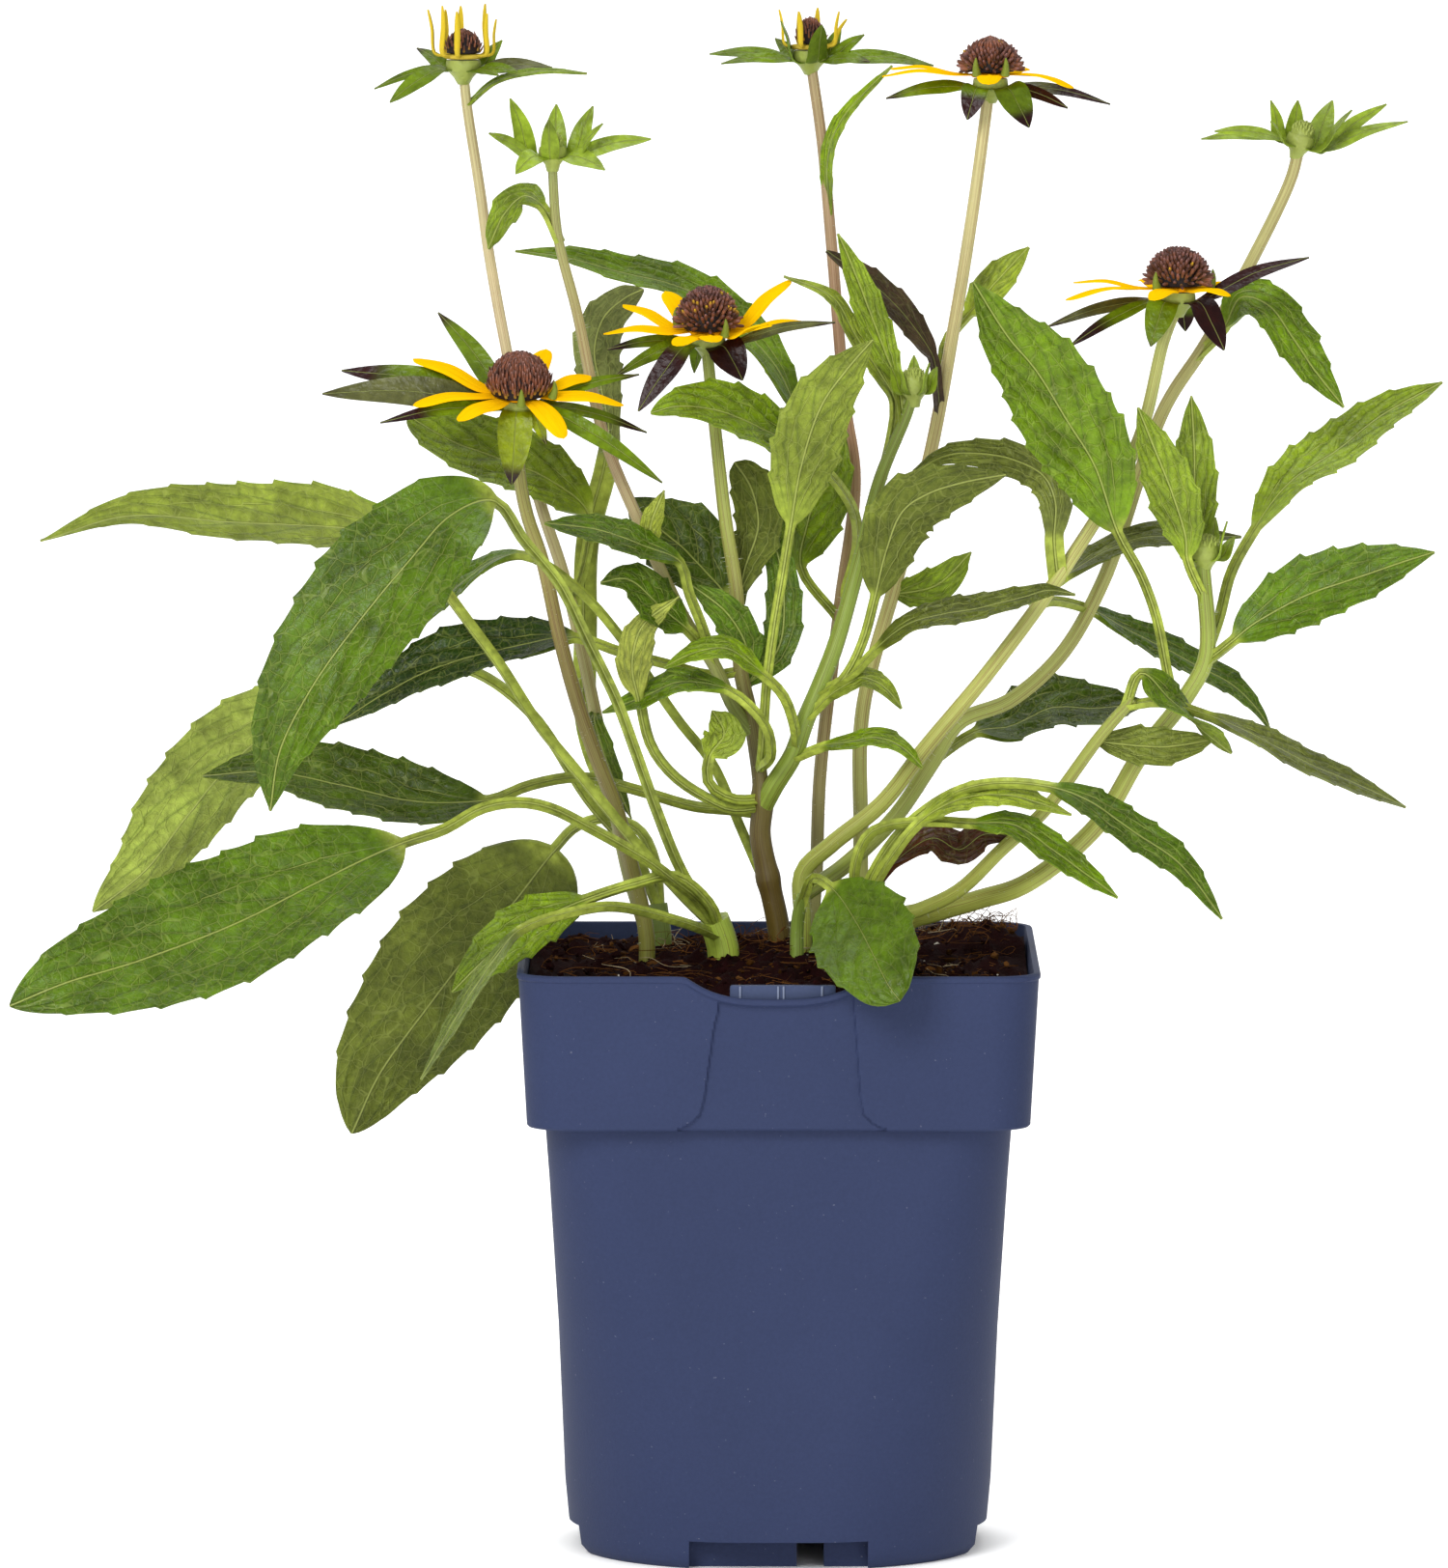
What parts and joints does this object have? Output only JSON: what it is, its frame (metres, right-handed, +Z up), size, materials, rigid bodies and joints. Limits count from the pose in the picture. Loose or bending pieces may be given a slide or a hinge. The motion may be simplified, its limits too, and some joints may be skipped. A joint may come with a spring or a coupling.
{
  "type": "potted black-eyed susan",
  "caption": "Compact black-eyed susan with yellow rays, dark cones and toothed leaves in a square plastic nursery pot filled with soil.",
  "frame": {"origin": "middle of the pot's foot, on the surface that it stands on", "axes": "+Z up, -Y towards the side that the picture shows, +X to its right"},
  "size_m": [0.3681, 0.2007, 0.3976],
  "materials": {
    "pot": "satin",
    "soil": "matte",
    "leaf": "satin",
    "ray": "matte",
    "cone": "matte"
  },
  "bodies": {
    "root": {"pot": "pot", "soil": "soil", "stem_left_tall": "leaf", "stem_left_flower": "leaf", "stem_centre": "leaf", "stem_back_tall": "leaf", "stem_right_tall": "leaf", "stems_right_pair": "leaf", "stem_right_low": "leaf", "stem_right_leafy": "leaf", "rosette_left": "leaf", "rosette_back": "leaf", "leaf_front": "leaf", "rosette_right": "leaf", "flower_opening_left_rays": "ray", "flower_opening_left_cone": "cone", "flower_left_rays": "ray", "flower_left_cone": "cone", "flower_middle_rays": "ray", "flower_middle_cone": "cone", "flower_opening_back_rays": "ray", "flower_opening_back_cone": "cone", "flower_right_rays": "ray", "flower_right_cone": "cone", "flower_far_right_rays": "ray", "flower_far_right_cone": "cone"}
  },
  "joints": []
}
